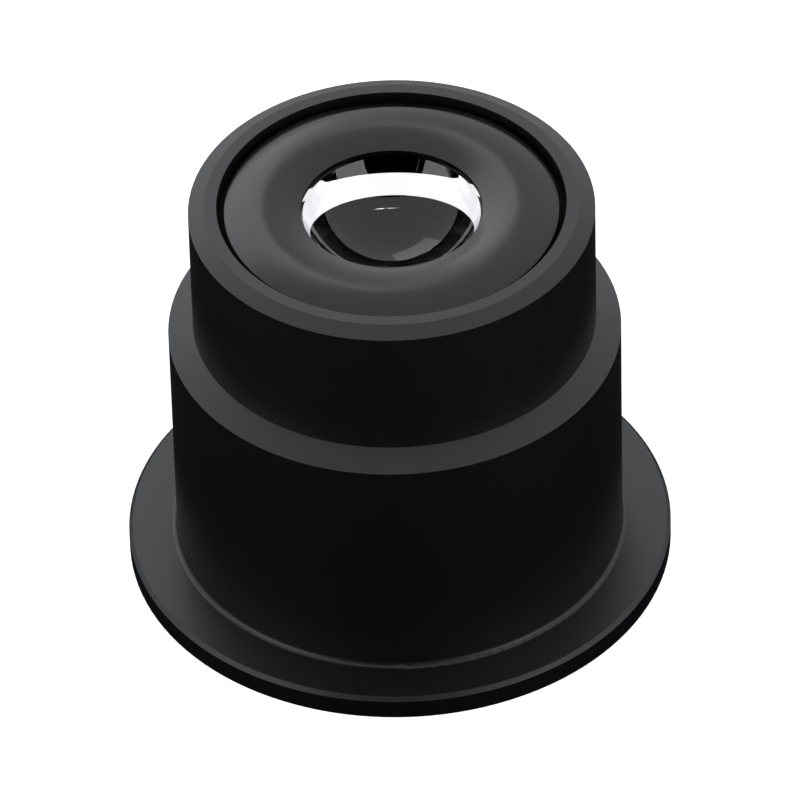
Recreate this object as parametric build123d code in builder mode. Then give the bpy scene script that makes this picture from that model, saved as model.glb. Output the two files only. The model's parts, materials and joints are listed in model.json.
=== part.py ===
from build123d import *

import math
import os

# A dry darkfield condenser for a microscope.
# Every length is in millimetres. The optical axis is Z, and the flange stands on Z = 0.

# Barrel, outside. The sleeve is the standard size that all other radii follow.
sleeve_radius = 19.75
sleeve_length = 13.53
shoulder_width = 2.44
shoulder_slope = 28.0
body_height = 27.58
flange_width = 4.81
flange_thickness = 2.65
flange_chamfer = 0.38
foot_chamfer = 0.25
rim_chamfer_width = 1.55
rim_chamfer_slope = 24.0
root_fillet = 0.5
corner_fillet = 0.3
edge_break = 0.12

# Barrel, inside
rim_land_width = 1.22
front_lip_depth = 2.2
front_lip_width = 0.52
body_wall = 2.29
light_cone_height = 1.6
mouth_chamfer = 0.6

# Glossy front ring with its crested face
front_gap = 0.67
front_recess = 0.73
ring_face_width = 7.46
crest_rise = 0.7
ring_edge_fillet = 0.12
aperture_lip = 0.45
ring_flange_thickness = 2.3
ring_relief_width = 1.8

# Glass block: a hollow sphere in its top and a mirror paraboloid round its side
bowl_centre_above_aperture = 3.2
mirror_focus_above_aperture = 4.8
mirror_foot_width = 1.57
neck_wall = 2.45
glass_flange_thickness = 1.3

# Pieces that carry the glass block, and the patch stop under it
spacer_length = 8.35
spacer_wall = 1.4
light_ring_width = 2.88
stop_thickness = 0.6
optics_ring_width = 1.5
optics_ring_thickness = 1.8
slot_width = 1.6
slot_depth = 0.9

# Clearances
bore_clearance = 0.1
neck_clearance = 0.1
land_clearance = 0.1

# Radii of the barrel, from the sleeve outwards and inwards
body_radius = sleeve_radius + shoulder_width
flange_radius = body_radius + flange_width
rim_radius = sleeve_radius - rim_chamfer_width
front_bore_radius = rim_radius - rim_land_width
optics_bore_radius = front_bore_radius + front_lip_width
light_bore_radius = body_radius - body_wall

# Heights of the barrel's outside, from the flange upwards
shoulder_rise = shoulder_width * math.tan(math.radians(shoulder_slope))
sleeve_base_height = body_height + shoulder_rise
sleeve_top_height = sleeve_base_height + sleeve_length
rim_height = sleeve_top_height + rim_chamfer_width * math.tan(math.radians(rim_chamfer_slope))

# Heights of the optical stack, from the rim downwards
lip_height = rim_height - front_lip_depth
aperture_height = rim_height - front_recess
ring_base_height = lip_height - ring_flange_thickness
glass_seat_height = ring_base_height - spacer_length
glass_base_height = glass_seat_height - glass_flange_thickness
optics_ring_base_height = glass_base_height - optics_ring_thickness
optics_bore_end_height = optics_ring_base_height - bore_clearance

# Radii of what slides into the barrel
optics_radius = optics_bore_radius - bore_clearance
front_ring_radius = front_bore_radius - front_gap
aperture_radius = front_ring_radius - ring_face_width
neck_radius = aperture_radius + neck_wall
neck_bore_radius = neck_radius + neck_clearance
ring_relief_radius = neck_radius + ring_relief_width

# The mirror is a paraboloid through its foot on the flange, with its focus above the aperture.
# Its parameter is half its width at the focus, and its vertex lies half of that higher.
mirror_foot_radius = optics_radius - mirror_foot_width
mirror_focus_height = aperture_height + mirror_focus_above_aperture
mirror_depth = mirror_focus_height - glass_seat_height
mirror_parameter = math.hypot(mirror_foot_radius, mirror_depth) - mirror_depth
mirror_vertex_height = mirror_focus_height + mirror_parameter / 2
mirror_top_height = mirror_vertex_height - neck_radius**2 / (2 * mirror_parameter)
ring_web_height = mirror_top_height + neck_clearance
stop_radius = mirror_foot_radius - light_ring_width

os.makedirs("parts", exist_ok=True)

# Barrel: one turned piece with the flange, the body, the sleeve and the stepped bore
with BuildPart() as barrel:
    with BuildSketch(Plane.XZ) as barrel_profile:
        with BuildLine():
            Polyline(
                (light_bore_radius + mouth_chamfer, 0),
                (flange_radius - foot_chamfer, 0),
                (flange_radius, foot_chamfer),
                (flange_radius, flange_thickness - flange_chamfer),
                (flange_radius - flange_chamfer, flange_thickness),
                (body_radius, flange_thickness),
                (body_radius, body_height),
                (sleeve_radius, sleeve_base_height),
                (sleeve_radius, sleeve_top_height),
                (rim_radius, rim_height),
                (front_bore_radius, rim_height),
                (front_bore_radius, lip_height),
                (optics_bore_radius, lip_height),
                (optics_bore_radius, optics_bore_end_height),
                (light_bore_radius, optics_bore_end_height - light_cone_height),
                (light_bore_radius, mouth_chamfer),
                close=True,
            )
        make_face()
        corners = barrel_profile.vertices()
        root = corners.sort_by_distance((body_radius, flange_thickness))[0]
        sleeve_foot = corners.sort_by_distance((sleeve_radius, sleeve_base_height))[0]
        shoulder_edge = corners.sort_by_distance((body_radius, body_height))[0]
        fillet(root, radius=root_fillet)
        fillet(sleeve_foot, radius=corner_fillet)
        fillet(shoulder_edge, radius=edge_break)
    revolve(axis=Axis.Z)
barrel.part.label = "barrel"
export_step(barrel.part, "parts/barrel.step")

# Front ring: the crested black face round the aperture, on a flange under the barrel's lip
crest_radius = (front_ring_radius + aperture_radius) / 2
with BuildPart() as front_ring:
    with BuildSketch(Plane.XZ) as ring_profile:
        with BuildLine():
            crest = ThreePointArc(
                (front_ring_radius, aperture_height),
                (crest_radius, aperture_height + crest_rise),
                (aperture_radius, aperture_height),
            )
            Polyline(
                crest @ 1,
                (aperture_radius, aperture_height - aperture_lip),
                (neck_bore_radius, aperture_height - aperture_lip),
                (neck_bore_radius, ring_web_height),
                (ring_relief_radius, ring_web_height),
                (ring_relief_radius, ring_base_height),
                (optics_radius, ring_base_height),
                (optics_radius, lip_height),
                (front_ring_radius, lip_height),
                crest @ 0,
            )
        make_face()
        outer_edge = ring_profile.vertices().sort_by_distance((front_ring_radius, aperture_height))[0]
        fillet(outer_edge, radius=ring_edge_fillet)
    revolve(axis=Axis.Z)
front_ring.part.label = "front_ring"
export_step(front_ring.part, "parts/front_ring.step")

# Glass block: the bowl is part of a sphere about the specimen, and the side is a paraboloid
# that turns light from straight below into the hollow cone. A parabola is exactly a Bezier
# curve of three points, with the middle one where its two end tangents meet.
bowl_centre_height = aperture_height + bowl_centre_above_aperture
bowl_radius = math.hypot(aperture_radius, bowl_centre_above_aperture)
land_height = aperture_height - aperture_lip - land_clearance
land_radius = math.sqrt(bowl_radius**2 - (bowl_centre_height - land_height) ** 2)
tangent_radius = (mirror_foot_radius + neck_radius) / 2
tangent_height = mirror_vertex_height - mirror_foot_radius * neck_radius / (2 * mirror_parameter)
with BuildPart() as glass_block:
    with BuildSketch(Plane.XZ):
        with BuildLine():
            mirror = Bezier(
                (mirror_foot_radius, glass_seat_height),
                (tangent_radius, tangent_height),
                (neck_radius, mirror_top_height),
            )
            bowl = CenterArc(
                (0, bowl_centre_height),
                bowl_radius,
                270,
                math.degrees(math.asin(land_radius / bowl_radius)),
            )
            Polyline(mirror @ 1, (neck_radius, land_height), bowl @ 1)
            Polyline(
                bowl @ 0,
                (0, glass_base_height),
                (optics_radius, glass_base_height),
                (optics_radius, glass_seat_height),
                mirror @ 0,
            )
        make_face()
    revolve(axis=Axis.Z)
glass_block.part.label = "glass_block"
export_step(glass_block.part, "parts/glass_block.step")

# Patch stop: a black disc cemented under the block, which leaves a clear ring round it
with BuildPart() as patch_stop:
    with BuildSketch(Plane.XY.offset(glass_base_height - stop_thickness)):
        Circle(stop_radius)
    extrude(amount=stop_thickness)
patch_stop.part.label = "patch_stop"
export_step(patch_stop.part, "parts/patch_stop.step")

# Spacer tube: stands on the block's flange and holds the front ring up against the lip
with BuildPart() as spacer_tube:
    with BuildSketch(Plane.XY.offset(glass_seat_height)):
        Circle(optics_radius)
        Circle(optics_radius - spacer_wall, mode=Mode.SUBTRACT)
    extrude(amount=spacer_length)
spacer_tube.part.label = "spacer_tube"
export_step(spacer_tube.part, "parts/spacer_tube.step")

# Optics retaining ring: threaded ring under the glass block, with two spanner slots
with BuildPart() as optics_retaining_ring:
    with BuildSketch(Plane.XY.offset(optics_ring_base_height)):
        Circle(optics_radius)
        Circle(optics_radius - optics_ring_width, mode=Mode.SUBTRACT)
    extrude(amount=optics_ring_thickness)
    with BuildSketch(Plane.XY.offset(optics_ring_base_height)):
        Rectangle(2 * optics_bore_radius, slot_width)
    extrude(amount=slot_depth, mode=Mode.SUBTRACT)
optics_retaining_ring.part.label = "optics_retaining_ring"
export_step(optics_retaining_ring.part, "parts/optics_retaining_ring.step")
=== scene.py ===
"""Looks of the darkfield condenser: materials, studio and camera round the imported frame."""

import json
import math

import bpy
from mathutils import Matrix, Vector


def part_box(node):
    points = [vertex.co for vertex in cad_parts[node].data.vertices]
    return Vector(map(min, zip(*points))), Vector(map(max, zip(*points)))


MM = 0.001

# Camera, fitted to the photograph
FOCAL_PIXELS = 9216.5
PICTURE_PIXELS = 800
SENSOR_WIDTH = 36.0
CAMERA_DISTANCE = 908.47 * MM
CAMERA_ELEVATION = 40.885
CAMERA_ROLL = -1.523
CAMERA_TARGET = Vector((0.327 * MM, 0.0, 17.822 * MM))

# Where the finish changes on one piece, with a small margin beside its surfaces
STOP_RADIUS = 12.95 * MM
BOWL_RIM_RADIUS = 8.9 * MM
NECK_RADIUS = 11.3 * MM
GLASS_FLANGE_THICKNESS = 1.3 * MM
FRONT_RING_RADIUS = 16.31 * MM
LIGHT_BORE_RADIUS = 19.9 * MM
LIGHT_BORE_TOP = 27.0 * MM
MARGIN = 0.03 * MM

# The blacks shine a little blue
SPECULAR_TINT = (0.9, 0.93, 1.0, 1.0)

# Studio. White where it is seen, and a softer level where it only lights.
WORLD_LIGHT = 0.5
WORLD_SEEN = 1.0
FLOOR_HALF_WIDTH = 3.0
FLOOR_PAINT = 0.8
FLOOR_GLOW = 0.92
LAMP_TARGET = Vector((0.0, 0.0, 30.0 * MM))
LAMP_DISTANCE = 1.2
CARD_DISTANCE = 1.5
FLOOR_CARD_HOLE = 26.5 * MM
FLOOR_CARD_RADIUS = 0.3
FLOOR_CARD_HEIGHT = 0.02 * MM
FLOOR_CARD_STEP = 5

# Sockets of the Mix node that hold its two colours
FIRST_COLOUR = 6
SECOND_COLOUR = 7


def new_material(name):
    """An empty node material with its Principled shader."""
    material = bpy.data.materials.new(name)
    material.use_nodes = True
    tree = material.node_tree
    return material, tree, tree.nodes["Principled BSDF"]


def wire(tree, kind, inputs=(), **settings):
    """A node of this kind with its settings and inputs. A value or another node's output goes in."""
    node = tree.nodes.new(kind)
    for key, value in settings.items():
        setattr(node, key, value)
    for socket, value in dict(inputs).items():
        if isinstance(value, bpy.types.NodeSocket):
            tree.links.new(value, node.inputs[socket])
        else:
            node.inputs[socket].default_value = value
    return node


def maths(tree, operation, a, b=0.0):
    """The output of a Math node."""
    return wire(tree, "ShaderNodeMath", {0: a, 1: b}, operation=operation).outputs[0]


def place(tree):
    """Object position, radius from the optical axis and height, in metres."""
    point = wire(tree, "ShaderNodeTexCoord").outputs["Object"]
    split = wire(tree, "ShaderNodeSeparateXYZ", {0: point})
    across = maths(tree, "POWER", split.outputs["X"], 2.0)
    along = maths(tree, "POWER", split.outputs["Y"], 2.0)
    radius = maths(tree, "SQRT", maths(tree, "ADD", across, along))
    return point, radius, split.outputs["Z"]


def grey(level):
    """A grey as a node takes it."""
    return (level, level, level, 1.0)


def colour_between(tree, factor, first, second):
    """A colour that goes from the first to the second as the factor goes from 0 to 1."""
    inputs = {"Factor": factor, FIRST_COLOUR: first, SECOND_COLOUR: second}
    return wire(tree, "ShaderNodeMix", inputs, data_type="RGBA").outputs[2]


def number_between(tree, factor, first, second):
    """A number that goes from the first to the second as the factor goes from 0 to 1."""
    inputs = {"Value": factor, "To Min": first, "To Max": second}
    return wire(tree, "ShaderNodeMapRange", inputs).outputs[0]


def turning_marks(tree, radius, scale):
    """The factor of fine marks that run round the axis."""
    inputs = {"W": radius, "Scale": scale, "Detail": 2.0}
    return wire(tree, "ShaderNodeTexNoise", inputs, noise_dimensions="1D").outputs["Fac"]


def black_anodised():
    """Fine blasted and black anodised, with a bare bright light bore."""
    material, tree, shader = new_material("black_anodised")
    point, radius, height = place(tree)
    grain = wire(tree, "ShaderNodeTexNoise", {"Vector": point, "Scale": 9000.0, "Detail": 2.0})
    cloud = wire(tree, "ShaderNodeTexNoise", {"Vector": point, "Scale": 260.0, "Detail": 3.0})
    in_bore = maths(tree, "LESS_THAN", radius, LIGHT_BORE_RADIUS + MARGIN)
    below_optics = maths(tree, "LESS_THAN", height, LIGHT_BORE_TOP)
    bright = maths(tree, "MULTIPLY", in_bore, below_optics)
    deep_black = (0.0008, 0.001, 0.0014, 1.0)
    pale_black = (0.0018, 0.0021, 0.0027, 1.0)
    black = colour_between(tree, cloud.outputs["Fac"], deep_black, pale_black)
    colour = colour_between(tree, bright, black, grey(0.95))
    blasted = number_between(tree, grain.outputs["Fac"], 0.36, 0.48)
    rough = number_between(tree, bright, blasted, 0.1)
    relief = {"Height": grain.outputs["Fac"], "Strength": 0.25, "Distance": 0.02 * MM}
    bump = wire(tree, "ShaderNodeBump", relief)
    tree.links.new(colour, shader.inputs["Base Color"])
    tree.links.new(bright, shader.inputs["Metallic"])
    tree.links.new(rough, shader.inputs["Roughness"])
    tree.links.new(bump.outputs[0], shader.inputs["Normal"])
    shader.inputs["Specular IOR Level"].default_value = 0.62
    shader.inputs["Specular Tint"].default_value = SPECULAR_TINT
    return material


def gloss_black():
    """Turned and lacquered, with faint marks that run round the axis. Its side is left matt."""
    material, tree, shader = new_material("gloss_black")
    _, radius, _ = place(tree)
    side = maths(tree, "GREATER_THAN", radius, FRONT_RING_RADIUS - MARGIN)
    lacquer = number_between(tree, turning_marks(tree, radius, 9000.0), 0.14, 0.24)
    rough = number_between(tree, side, lacquer, 1.0)
    tangent = wire(tree, "ShaderNodeTangent", direction_type="RADIAL", axis="Z")
    tree.links.new(rough, shader.inputs["Roughness"])
    tree.links.new(tangent.outputs[0], shader.inputs["Tangent"])
    shader.inputs["Base Color"].default_value = (0.003, 0.003, 0.0035, 1.0)
    shader.inputs["Specular Tint"].default_value = SPECULAR_TINT
    shader.inputs["Anisotropic"].default_value = 0.5
    return material


def optical_glass():
    """Clear bowl and clear light entrance, silvered paraboloid, and black lacquer elsewhere."""
    material, tree, shader = new_material("optical_glass")
    _, radius, height = place(tree)
    low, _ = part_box("glass_block")
    seat = low.z + GLASS_FLANGE_THICKNESS
    bowl = maths(tree, "LESS_THAN", radius, BOWL_RIM_RADIUS)
    at_base = maths(tree, "LESS_THAN", height, low.z + MARGIN)
    past_stop = maths(tree, "GREATER_THAN", radius, STOP_RADIUS)
    entrance = maths(tree, "MULTIPLY", at_base, past_stop)
    above_base = maths(tree, "GREATER_THAN", height, low.z + MARGIN)
    upper = maths(tree, "MULTIPLY", bowl, above_base)
    clear = maths(tree, "MAXIMUM", upper, entrance)
    over_seat = maths(tree, "GREATER_THAN", height, seat + MARGIN)
    round_neck = maths(tree, "GREATER_THAN", radius, NECK_RADIUS + MARGIN)
    silver = maths(tree, "MULTIPLY", over_seat, round_neck)
    bright = maths(tree, "MAXIMUM", clear, silver)
    colour = colour_between(tree, bright, grey(0.004), grey(1.0))
    tree.links.new(colour, shader.inputs["Base Color"])
    tree.links.new(silver, shader.inputs["Metallic"])
    tree.links.new(clear, shader.inputs["Transmission Weight"])
    shader.inputs["Roughness"].default_value = 0.0
    shader.inputs["IOR"].default_value = 1.52
    return material


def matt_black():
    """Turned and matt black anodised, for the pieces inside."""
    material, tree, shader = new_material("matt_black")
    _, radius, _ = place(tree)
    deep_black = (0.008, 0.008, 0.009, 1.0)
    pale_black = (0.014, 0.014, 0.015, 1.0)
    colour = colour_between(tree, turning_marks(tree, radius, 6000.0), deep_black, pale_black)
    tree.links.new(colour, shader.inputs["Base Color"])
    shader.inputs["Roughness"].default_value = 0.6
    shader.inputs["Specular IOR Level"].default_value = 0.3
    return material


def white_to_the_eye(tree):
    """1 for a camera, glossy or transmission ray, and otherwise 0."""
    path = wire(tree, "ShaderNodeLightPath")
    seen = maths(tree, "MAXIMUM", path.outputs["Is Camera Ray"], path.outputs["Is Glossy Ray"])
    return maths(tree, "MAXIMUM", seen, path.outputs["Is Transmission Ray"])


def build_world():
    """White where it is seen, and a plain soft level where it only lights."""
    world = bpy.data.worlds.new("studio")
    bpy.context.scene.world = world
    world.use_nodes = True
    tree = world.node_tree
    background = tree.nodes["Background"]
    background.inputs["Color"].default_value = grey(1.0)
    strength = number_between(tree, white_to_the_eye(tree), WORLD_LIGHT, WORLD_SEEN)
    tree.links.new(strength, background.inputs["Strength"])


def build_floor():
    """A pale floor that is white where it is seen, with the object's faint shadow."""
    mesh = bpy.data.meshes.new("floor")
    half = FLOOR_HALF_WIDTH
    corners = [(-half, -half, 0.0), (half, -half, 0.0), (half, half, 0.0), (-half, half, 0.0)]
    mesh.from_pydata(corners, [], [(0, 1, 2, 3)])
    floor = bpy.data.objects.new("floor", mesh)
    bpy.context.collection.objects.link(floor)
    material, tree, shader = new_material("floor")
    shader.inputs["Base Color"].default_value = grey(FLOOR_PAINT)
    shader.inputs["Roughness"].default_value = 1.0
    shader.inputs["Specular IOR Level"].default_value = 0.0
    shader.inputs["Emission Color"].default_value = grey(1.0)
    strength = number_between(tree, white_to_the_eye(tree), 0.0, FLOOR_GLOW)
    tree.links.new(strength, shader.inputs["Emission Strength"])
    mesh.materials.append(material)


def toward(azimuth, elevation):
    """The direction at this azimuth, which goes from behind the object to its right."""
    turn, lift = math.radians(azimuth), math.radians(elevation)
    return Vector((math.sin(turn) * math.cos(lift), math.cos(turn) * math.cos(lift), math.sin(lift)))


def softbox(name, azimuth, elevation, width, height, radiance):
    """An area lamp that faces the object. Its power is four times its area times its radiance."""
    data = bpy.data.lights.new(name, "AREA")
    data.shape = "RECTANGLE"
    data.size = width
    data.size_y = height
    data.energy = 4.0 * width * height * radiance
    lamp = bpy.data.objects.new(name, data)
    bpy.context.collection.objects.link(lamp)
    direction = toward(azimuth, elevation)
    lamp.location = LAMP_TARGET + direction * LAMP_DISTANCE
    lamp.rotation_euler = direction.to_track_quat("Z", "Y").to_euler()


def black_card(name, corners, faces=((0, 1, 2, 3),)):
    """A black card that only reflections see, as a photographer sets beside a dark object."""
    mesh = bpy.data.meshes.new(name)
    mesh.from_pydata(corners, [], faces)
    card = bpy.data.objects.new(name, mesh)
    bpy.context.collection.objects.link(card)
    material, tree, shader = new_material(name)
    shader.inputs["Base Color"].default_value = grey(0.0)
    shader.inputs["Specular IOR Level"].default_value = 0.0
    mesh.materials.append(material)
    card.visible_camera = False
    card.visible_diffuse = False
    card.visible_transmission = False
    card.visible_shadow = False


def upright_card(name, azimuth, half_angle, top_elevation):
    """A black card that stands on the floor and faces the object."""
    side = toward(azimuth + 90.0, 0.0) * CARD_DISTANCE * math.tan(math.radians(half_angle))
    foot = toward(azimuth, 0.0) * CARD_DISTANCE
    top = Vector((0.0, 0.0, CARD_DISTANCE * math.tan(math.radians(top_elevation))))
    black_card(name, [foot - side, foot + side, foot + side + top, foot - side + top])


def build_cards():
    """Black cards on the floor round the object's foot and on the camera's side."""
    turns = [toward(azimuth, 0.0) for azimuth in range(0, 360, FLOOR_CARD_STEP)]
    lift = Vector((0.0, 0.0, FLOOR_CARD_HEIGHT))
    inner = [turn * FLOOR_CARD_HOLE + lift for turn in turns]
    outer = [turn * FLOOR_CARD_RADIUS + lift for turn in turns]
    count = len(turns)
    following = [(i + 1) % count for i in range(count)]
    faces = [(i, following[i], count + following[i], count + i) for i in range(count)]
    black_card("floor_card", inner + outer, faces)
    upright_card("camera_card", azimuth=180.0, half_angle=33.0, top_elevation=57.0)
    for azimuth in (-126.0, 126.0):
        upright_card("side_card_%d" % azimuth, azimuth, half_angle=20.0, top_elevation=34.0)


def build_camera():
    """The photograph's own view."""
    lift, roll = math.radians(CAMERA_ELEVATION), math.radians(CAMERA_ROLL)
    back = Vector((0.0, -math.cos(lift), math.sin(lift)))
    level = Vector((1.0, 0.0, 0.0))
    upright = back.cross(level)
    right = math.cos(roll) * level + math.sin(roll) * upright
    up = -math.sin(roll) * level + math.cos(roll) * upright
    data = bpy.data.cameras.new("camera")
    data.sensor_width = SENSOR_WIDTH
    data.lens = FOCAL_PIXELS / PICTURE_PIXELS * SENSOR_WIDTH
    camera = bpy.data.objects.new("camera", data)
    bpy.context.collection.objects.link(camera)
    camera.matrix_world = Matrix.Translation(CAMERA_TARGET + back * CAMERA_DISTANCE) @ Matrix(
        (right, up, back)
    ).transposed().to_4x4()
    bpy.context.scene.camera = camera


def dress(frame):
    """Each node takes the material of its slot in the record."""
    makers = {
        "black_anodised": black_anodised,
        "gloss_black": gloss_black,
        "optical_glass": optical_glass,
        "matt_black": matt_black,
    }
    made = {name: make() for name, make in makers.items()}
    for entry in frame["record"]["subparts"]:
        node = frame["nodes"][entry["node"]]
        for slot in node.material_slots:
            slot.material = made[entry["material_slot"]]


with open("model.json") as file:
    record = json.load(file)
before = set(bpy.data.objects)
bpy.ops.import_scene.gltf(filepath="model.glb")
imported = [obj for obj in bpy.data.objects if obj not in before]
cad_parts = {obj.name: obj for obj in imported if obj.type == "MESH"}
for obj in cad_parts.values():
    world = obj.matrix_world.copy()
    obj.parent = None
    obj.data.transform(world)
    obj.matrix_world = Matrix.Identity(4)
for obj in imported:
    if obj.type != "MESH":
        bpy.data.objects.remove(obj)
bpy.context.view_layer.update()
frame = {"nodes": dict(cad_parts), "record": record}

dress(frame)
build_world()
build_floor()
build_cards()
softbox("back_left_softbox", azimuth=-24, elevation=36, width=0.75, height=0.6, radiance=0.9)
softbox("right_softbox", azimuth=130, elevation=16, width=0.8, height=0.6, radiance=2.2)
softbox("left_softbox", azimuth=-122, elevation=16, width=0.7, height=0.6, radiance=2.2)
build_camera()

bpy.context.scene.view_settings.view_transform = "Standard"
